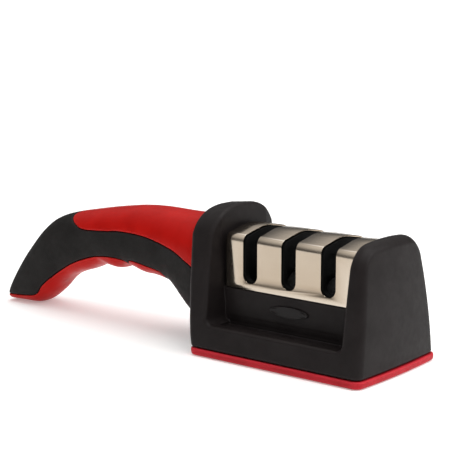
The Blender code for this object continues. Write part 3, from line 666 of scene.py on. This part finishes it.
def shell_field(points):
    field = meet(body_form(points), FOOT_Z - points[:, 2], FOOT_EDGE_RADIUS)
    field = cut(field, post_gap(points), GAP_EDGE_RADIUS)
    field = join(field, saddle(points), 0.25)
    field = cut(field, troughs(points), 0.4)
    for hollow in shell_hollows(points):
        field = cut(field, hollow, HOLLOW_EDGE_RADIUS)
    for y in (-CORE_BORE_Y, CORE_BORE_Y):
        field = cut(field, rod(points, 0, (y, CORE_BORE_Z), BORE_RADIUS, *CORE_BORE_X), 0.2)
    return field


# ---------------------------------------------------------------- base pad and its screws

def pad_field(points):
    """Red pad with a bowed end, screw holes and a ribbed tread underneath."""
    x, y, z = points.T
    bow = PAD_BOW * (1 - np.minimum(np.abs(y) / PAD_HALF_DEPTH, 1.0) ** 2)
    ends = np.maximum(PAD_X[0] - x, x - (PAD_X[1] + bow))
    outline = meet(np.abs(y) - PAD_HALF_DEPTH, ends, PAD_CORNER)
    field = meet(meet(outline, z - PAD_TOP_Z, 0.5), -z, 1.3)
    for place in SCREW_PLACES:
        field = cut(field, rod(points, 2, place, PAD_HOLE_RADIUS, -1.0, 4.0), 0.4)
    rib = TREAD_DEPTH * np.cos(np.pi * np.mod(x - PAD_X[0], TREAD_PITCH) / TREAD_PITCH) ** 4
    inside = meet(outline + TREAD_MARGIN, tread_clear(x, y)) < 0
    return np.where(inside & (z < 1.2), np.maximum(field, TREAD_DEPTH - rib - z), field)


def tread_clear(x, y):
    """Keeps the tread away from the screw holes."""
    return TREAD_CLEARANCE - np.min([np.hypot(x - a, y - b) for a, b in SCREW_PLACES], axis=0)


def revolve(name, profile, centre, axis, steps, closed=False):
    """Turned solid of a (radius, height) profile, with its heights along an axis."""
    work = bmesh.new()
    rings = []
    for radius, height in profile:
        angles = [2 * math.pi * step / steps for step in range(steps if radius > 0 else 1)]
        rings.append([work.verts.new((radius * math.cos(a), radius * math.sin(a), height)) for a in angles])
    pairs = list(zip(rings, rings[1:]))
    if closed:
        pairs.append((rings[-1], rings[0]))
    for first, second in pairs:
        ring_faces(work, first, second)
    bmesh.ops.recalc_face_normals(work, faces=work.faces)
    turn = Vector((0.0, 0.0, 1.0)).rotation_difference(Vector(axis)).to_matrix().to_4x4()
    place = Matrix.Translation(Vector(centre) * MM) @ turn @ Matrix.Scale(MM, 4)
    bmesh.ops.transform(work, verts=work.verts, matrix=place)
    piece = take_work(name, work)
    piece.data.shade_smooth()
    piece.data.set_sharp_from_angle(angle=math.radians(32))
    return piece


def arc(centre, radius, start, end, steps=4):
    """Points of a profile's rounded edge, from one angle in degrees to another."""
    angles = [math.radians(start + (end - start) * step / steps) for step in range(steps + 1)]
    return [(centre[0] + radius * math.cos(a), centre[1] + radius * math.sin(a)) for a in angles]


def cross_cutter(centre, depth):
    """Two crossed tapering blades, as a screwdriver leaves them in a head."""
    work = bmesh.new()
    squeeze = Matrix.Diagonal((1.0, 0.3, 1.0, 1.0))
    eighth = Matrix.Rotation(math.pi / 4, 4, "Z")
    for turn in (0.0, math.pi / 2):
        blade = bmesh.ops.create_cone(work, segments=4, radius1=1.55, radius2=0.7, depth=depth, cap_ends=True)
        matrix = Matrix.Rotation(turn, 4, "Z") @ squeeze @ eighth
        bmesh.ops.transform(work, verts=blade["verts"], matrix=matrix)
    place = Matrix.Translation(Vector(centre) * MM) @ Matrix.Scale(MM, 4)
    bmesh.ops.transform(work, verts=work.verts, matrix=place)
    return take_work("cross", work)


def apply_cut(piece, cutter, self_crossing=False):
    boolean = piece.modifiers.new("cut", "BOOLEAN")
    boolean.operation = "DIFFERENCE"
    boolean.solver = "EXACT"
    boolean.use_self = self_crossing
    boolean.object = cutter
    take_modified(piece)
    bpy.data.objects.remove(cutter, do_unlink=True)


def make_base_screws():
    """Pan-head screws, seen from below in the pad's holes."""
    centre = (HEAD_RADIUS - HEAD_ROUND, HEAD_LOW_Z + HEAD_ROUND)
    profile = [(0, SHANK_TIP_Z), (0.5, SHANK_TIP_Z - 0.1), (SHANK_RADIUS, SHANK_TIP_Z - 1.3),
               (SHANK_RADIUS, PAD_TOP_Z), (HEAD_RADIUS, PAD_TOP_Z), (HEAD_RADIUS, 2.3),
               *arc(centre, HEAD_ROUND, 0, -90), (0, HEAD_LOW_Z - 0.02)]
    for index, (x, y) in enumerate(SCREW_PLACES):
        piece = revolve(f"pan_screw_{index + 1}", profile, (x, y, 0), (0, 0, 1), 48)
        apply_cut(piece, cross_cutter((x, y, HEAD_LOW_Z + 0.25), 1.7), True)
        piece.data.set_sharp_from_angle(angle=math.radians(32))
        dress(piece, "pin_steel")
        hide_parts(f"base_screw_{index + 1}")


# ---------------------------------------------------------------- steel cover

def rounded_line(corners, steps):
    """Open outline of (x, y, radius) corners, each rounded by an arc."""
    points = [Vector(corners[0][:2])]
    for before, (x, y, radius), after in zip(corners, corners[1:], corners[2:]):
        here = Vector((x, y))
        back, on = (Vector(before[:2]) - here).normalized(), (Vector(after[:2]) - here).normalized()
        half = back.angle(on) / 2
        centre = here + (back + on).normalized() * (radius / math.sin(half))
        start = here + back * (radius / math.tan(half)) - centre
        turn = start.angle_signed(here + on * (radius / math.tan(half)) - centre)
        for step in range(steps + 1):
            spoke = start.copy()
            spoke.rotate(Matrix.Rotation(-turn * step / steps, 2))
            points.append(centre + spoke)
    return points + [Vector(corners[-1][:2])]


def slot_cutter(x):
    """Upright cutter with a round lower end."""
    radius = SLOT_WIDTH / 2
    steps = 28
    angles = [math.pi * (1 + step / steps) for step in range(steps + 1)]
    outline = [(x + radius * math.cos(a), SLOT_BOTTOM_Z + radius + radius * math.sin(a)) for a in angles]
    outline += [(x + radius, CUTTER_TOP_Z), (x - radius, CUTTER_TOP_Z)]
    work = bmesh.new()
    for y in (-CUTTER_HALF_DEPTH, CUTTER_HALF_DEPTH):
        work.faces.new([work.verts.new((a * MM, y * MM, b * MM)) for a, b in outline])
    bmesh.ops.bridge_loops(work, edges=work.edges)
    bmesh.ops.recalc_face_normals(work, faces=work.faces)
    return take_work("slot", work)


def cover_profile():
    """Bent sheet's section, from its front foot over the top to its rear foot."""
    foot, shoulder = SADDLE_TOP_Z + GAP, STEEL_TOP_Z - STEEL_CROWN_DROP
    crown = STEEL_TOP_Z + STEEL_CROWN_RISE
    return rounded_line(((-STEEL_HALF_DEPTH, foot, 0), (-STEEL_HALF_DEPTH, shoulder, STEEL_CORNER),
                         (0.0, crown, STEEL_CROWN_RADIUS), (STEEL_HALF_DEPTH, shoulder, STEEL_CORNER),
                         (STEEL_HALF_DEPTH, foot, 0)), 14)


def make_steel_cover():
    """Bent sheet with three slots, its cut edges just broken."""
    low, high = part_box("steel_cover")
    work = bmesh.new()
    rows = [[work.verts.new((x, y * MM, z * MM)) for y, z in cover_profile()] for x in (low.x, high.x)]
    for index in range(len(rows[0]) - 1):
        work.faces.new((rows[0][index], rows[0][index + 1], rows[1][index + 1], rows[1][index]))
    sheet = take_work("cover_sheet", work)
    solid = sheet.modifiers.new("thickness", "SOLIDIFY")
    solid.thickness = STEEL_THICKNESS * MM
    solid.offset = 1.0
    take_modified(sheet)
    for x in SLOT_X:
        apply_cut(sheet, slot_cutter(x))
    bevel = sheet.modifiers.new("broken_edges", "BEVEL")
    bevel.width = BROKEN_EDGE * MM
    bevel.segments = 2
    bevel.limit_method = "ANGLE"
    bevel.angle_limit = math.radians(50)
    take_modified(sheet)
    sheet.data.shade_smooth()
    sheet.data.set_sharp_from_angle(angle=math.radians(34))
    dress(sheet, "cover_steel")
    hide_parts("steel_cover")


# ---------------------------------------------------------------- wheels

def make_discs():
    """Facing abrasive discs of the two wheel stages, with broken rims and a sloped grinding face."""
    profile = [(DISC_BORE, DISC_OUTER), *arc((DISC_RADIUS - 0.5, DISC_OUTER - 0.5), 0.5, 90, 0),
               *arc((DISC_RADIUS - 0.3, DISC_RIM + 0.35), 0.3, 0, -60), (DISC_GROOVE + 0.2, GAP / 2 + 0.1),
               (DISC_GROOVE, GAP / 2), (DISC_BORE, GAP / 2)]
    # The dark colours of both grinding faces are partly painted shade of the slots they sit in.
    for stage, x, slot in (("medium", SLOT_X[1], "diamond_grit"), ("fine", SLOT_X[2], "ceramic")):
        for side, axis in (("right", (1, 0, 0)), ("left", (-1, 0, 0))):
            piece = revolve(f"{stage}_grinding_{side}", profile, (x, 0, AXLE_Z), axis, DISC_STEPS, True)
            dress(piece, slot, f"{stage}_wheel")
            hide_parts(f"{stage}_disc_{side}")


# ---------------------------------------------------------------- handle

def smooth_values(table, x):
    """Catmull-Rom values at every x, through a table of (x, value) points."""
    places, values = np.array(table).T
    rates = np.empty(len(places))
    rates[1:-1] = (values[2:] - values[:-2]) / (places[2:] - places[:-2])
    rates[0] = (values[1] - values[0]) / (places[1] - places[0])
    rates[-1] = (values[-1] - values[-2]) / (places[-1] - places[-2])
    span = np.clip(np.searchsorted(places, x, side="right") - 1, 0, len(places) - 2)
    width = places[span + 1] - places[span]
    t = np.clip((x - places[span]) / width, 0.0, 1.0)
    return (values[span] * (1 + 2 * t) * (1 - t) ** 2 + rates[span] * width * t * (1 - t) ** 2
            + values[span + 1] * t * t * (3 - 2 * t) - rates[span + 1] * width * t * t * (1 - t))


def tube_columns(low, high, wide):
    """Lowest, highest and half-width of a tube at close steps along X."""
    x = np.arange(low[0][0], low[-1][0], PITCH)
    return [x, np.maximum(smooth_values(low, x), 0.0), smooth_values(high, x), smooth_values(wide, x)]


def oval_tube(points, columns, grow=0.0):
    """Flat-sided oval tube along X, through smoothed stations."""
    x, y, z = points.T
    low, high, wide = (np.interp(x, columns[0], column) for column in columns[1:])
    return flat_oval(y, z - (low + high) / 2, wide, (high - low) / 2) - grow


def smooth_line(points, pieces=6):
    """Open Catmull-Rom line through (x, z) points."""
    result = []
    ends = [points[0], *points, points[-1]]
    for p0, p1, p2, p3 in zip(ends, ends[1:], ends[2:], ends[3:]):
        p0, p1, p2, p3 = (np.array(p) for p in (p0, p1, p2, p3))
        for step in range(pieces):
            t = step / pieces
            result.append(0.5 * (2 * p1 + (p2 - p0) * t + (2 * p0 - 5 * p1 + 4 * p2 - p3) * t * t
                                 + (3 * p1 - p0 - 3 * p2 + p3) * t ** 3))
    return [*result, np.array(points[-1])]


def outline_distance(outline, gx, gz):
    """Signed distance of grid points to a closed outline, negative inside it."""
    nearest = np.full(gx.shape, 1e9)
    inside = np.zeros(gx.shape, bool)
    for a, b in zip(outline, np.roll(outline, -1, axis=0)):
        along = b - a
        t = np.clip(((gx - a[0]) * along[0] + (gz - a[1]) * along[1]) / max(along @ along, 1e-9), 0, 1)
        nearest = np.minimum(nearest, np.hypot(gx - a[0] - t * along[0], gz - a[1] - t * along[1]))
        crosses = (a[1] > gz) != (b[1] > gz)
        inside ^= crosses & (gx < a[0] + (gz - a[1]) * along[0] / (along[1] or 1e-9))
    return np.where(inside, -nearest, nearest)


def region(edge, close=()):
    """Field of a closed outline in the XZ plane, kept on a grid and read between its points."""
    outline = np.array([*smooth_line(edge), *(np.array(point) for point in close)])
    xs = np.arange(*REGION_X, PITCH)
    zs = np.arange(*REGION_Z, PITCH)
    grid = outline_distance(outline, *np.meshgrid(xs, zs, indexing="ij"))

    def field(points):
        u = np.clip((points[:, 0] - xs[0]) / PITCH, 0, len(xs) - 1.001)
        v = np.clip((points[:, 2] - zs[0]) / PITCH, 0, len(zs) - 1.001)
        i, j = u.astype(int), v.astype(int)
        u, v = u - i, v - j
        return (grid[i, j] * (1 - u) * (1 - v) + grid[i + 1, j] * u * (1 - v)
                + grid[i, j + 1] * (1 - u) * v + grid[i + 1, j + 1] * u * v)
    return field


def make_handle():
    """Black grip, red top insert and two red finger rails, parted by fine seams."""
    outer = tube_columns(HANDLE_UNDERSIDE, HANDLE_TOP, HANDLE_HALF_WIDTH)
    start = CORE_PATH[0][0]
    core = tube_columns([(x, z - CORE_HALF_HEIGHT) for x, z in CORE_PATH],
                        [(x, z + CORE_HALF_HEIGHT) for x, z in CORE_PATH],
                        ((start, CORE_HALF_WIDTH), (CORE_PATH[-1][0], CORE_HALF_WIDTH)))
    tail = outer[0][0]

    def blank(points):
        field = meet(oval_tube(points, outer), tail + 0.1 - points[:, 0], TAIL_RADIUS)
        return cut(field, body_form(points) - GAP, 0.4)

    def pocket(points):
        return meet(oval_tube(points, core, GAP), start - GAP - points[:, 0], 0.3)

    edges = {"handle_top_insert": region(INSERT_EDGE),
             "finger_rail_long": region(LONG_RAIL_EDGE, LONG_RAIL_CLOSE),
             "finger_rail_short": region(SHORT_RAIL_EDGE, SHORT_RAIL_CLOSE)}

    def grip(points):
        field = blank(points)
        for edge in edges.values():
            field = cut(field, edge(points) - GAP, SEAM_RADIUS)
        return cut(field, pocket(points), POCKET_RADIUS)

    def inlay(edge):
        return lambda points: cut(meet(blank(points), edge(points), SEAM_RADIUS), pocket(points),
                                  POCKET_RADIUS)

    sculpt("grip_overmould", "handle_grip", grip, 0.62, "grip_rubber", 0.6)
    for name, node, voxel in (("top_insert", "handle_top_insert", 0.55),
                              ("long_rail", "finger_rail_long", 0.5),
                              ("short_rail", "finger_rail_short", 0.4)):
        sculpt(name, node, inlay(edges[node]), voxel, "handle_red")


# ---------------------------------------------------------------- badge

def make_badge():
    """Blank oval plate with a rounded rim and a shallow dish."""
    low, high = (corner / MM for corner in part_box("front_badge"))
    middle, half = (low + high) / 2, (high - low) / 2
    rows = [(1.0, high.y), (1.0, low.y + 0.25), (0.985, low.y + 0.09), (0.955, low.y), (0.91, low.y),
            (0.88, low.y + 0.12), (0.6, low.y + 0.10), (0.3, low.y + 0.06), (0.0, low.y + 0.05)]
    steps = 96
    work = bmesh.new()
    rings = []
    for share, y in rows:
        angles = [2 * math.pi * step / steps for step in range(steps if share else 1)]
        rings.append([work.verts.new(((middle.x + half.x * share * math.cos(a)) * MM, y * MM,
                                      (middle.z + half.z * share * math.sin(a)) * MM)) for a in angles])
    work.faces.new(rings[0])
    for first, second in zip(rings, rings[1:]):
        ring_faces(work, first, second)
    bmesh.ops.recalc_face_normals(work, faces=work.faces)
    plate = take_work("oval_plate", work)
    plate.data.shade_smooth()
    plate.data.set_sharp_from_angle(angle=math.radians(50))
    dress(plate, "badge_plastic")
    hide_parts("front_badge")


# ---------------------------------------------------------------- everything together

def dress_cad_nodes():
    """The inner pieces keep their CAD shapes and take a finish each."""
    finishes = {"inner_plastic": ("base_plate", "cartridge_cover", "cartridge_cradle", "carbide_holder",
                                  "medium_hub", "fine_hub", "handle_core"),
                "pin_steel": ("carbide_clamp_screw", "medium_axle", "fine_axle", "handle_screw_front",
                              "handle_screw_rear"),
                "carbide": ("carbide_blade_front", "carbide_blade_rear")}
    for slot, names in finishes.items():
        for name in names:
            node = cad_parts[name]
            node.data.materials.clear()
            node.data.materials.append(MATERIALS[slot])


MATERIALS = make_materials()
set_camera()
set_studio()
make_floor()
dress_cad_nodes()
sculpt("body_casing", "body_shell", shell_field, 0.6, "body_plastic", 0.5)
sculpt("foot_pad", "base_pad", pad_field, 0.55, "pad_rubber", 0.6)
make_base_screws()
make_steel_cover()
make_discs()
make_handle()
make_badge()
